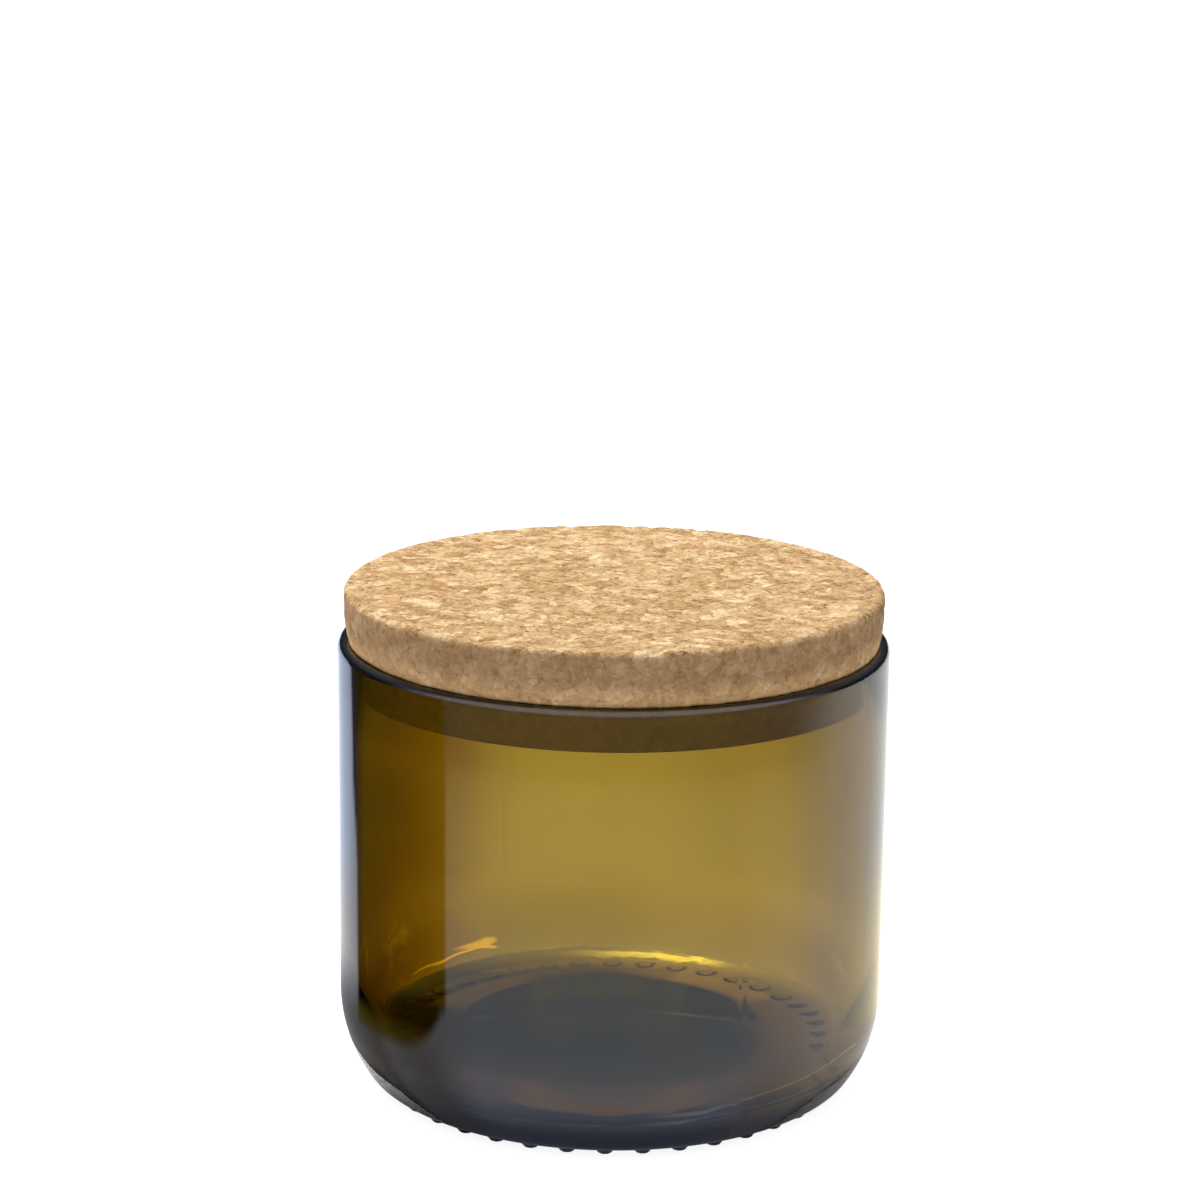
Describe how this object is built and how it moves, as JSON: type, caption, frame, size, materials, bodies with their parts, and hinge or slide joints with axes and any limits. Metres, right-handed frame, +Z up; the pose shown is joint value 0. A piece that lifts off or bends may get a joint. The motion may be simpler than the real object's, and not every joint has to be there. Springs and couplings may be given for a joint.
{
  "type": "storage jar with cork lid",
  "caption": "Round amber glass storage jar with a straight wall, rounded heel, knurled foot and smooth rounded rim, closed by a tapered cork lid that lifts out of the mouth.",
  "frame": {"origin": "on the jar's axis, on the surface that the jar stands on", "axes": "+Z up along the jar's axis, out of the mouth; -Y is the side that the picture shows"},
  "size_m": [0.082, 0.082, 0.0756],
  "materials": {
    "amber_glass": "gloss",
    "cork": "matte"
  },
  "bodies": {
    "jar": {"glass_jar": "amber_glass"},
    "lid": {"cork_lid": "cork"}
  },
  "joints": [
    {"name": "lid_lift", "type": "slide", "parent": "jar", "child": "lid", "axis": [0, 0, 1], "range_m": [0, 0.09]}
  ]
}
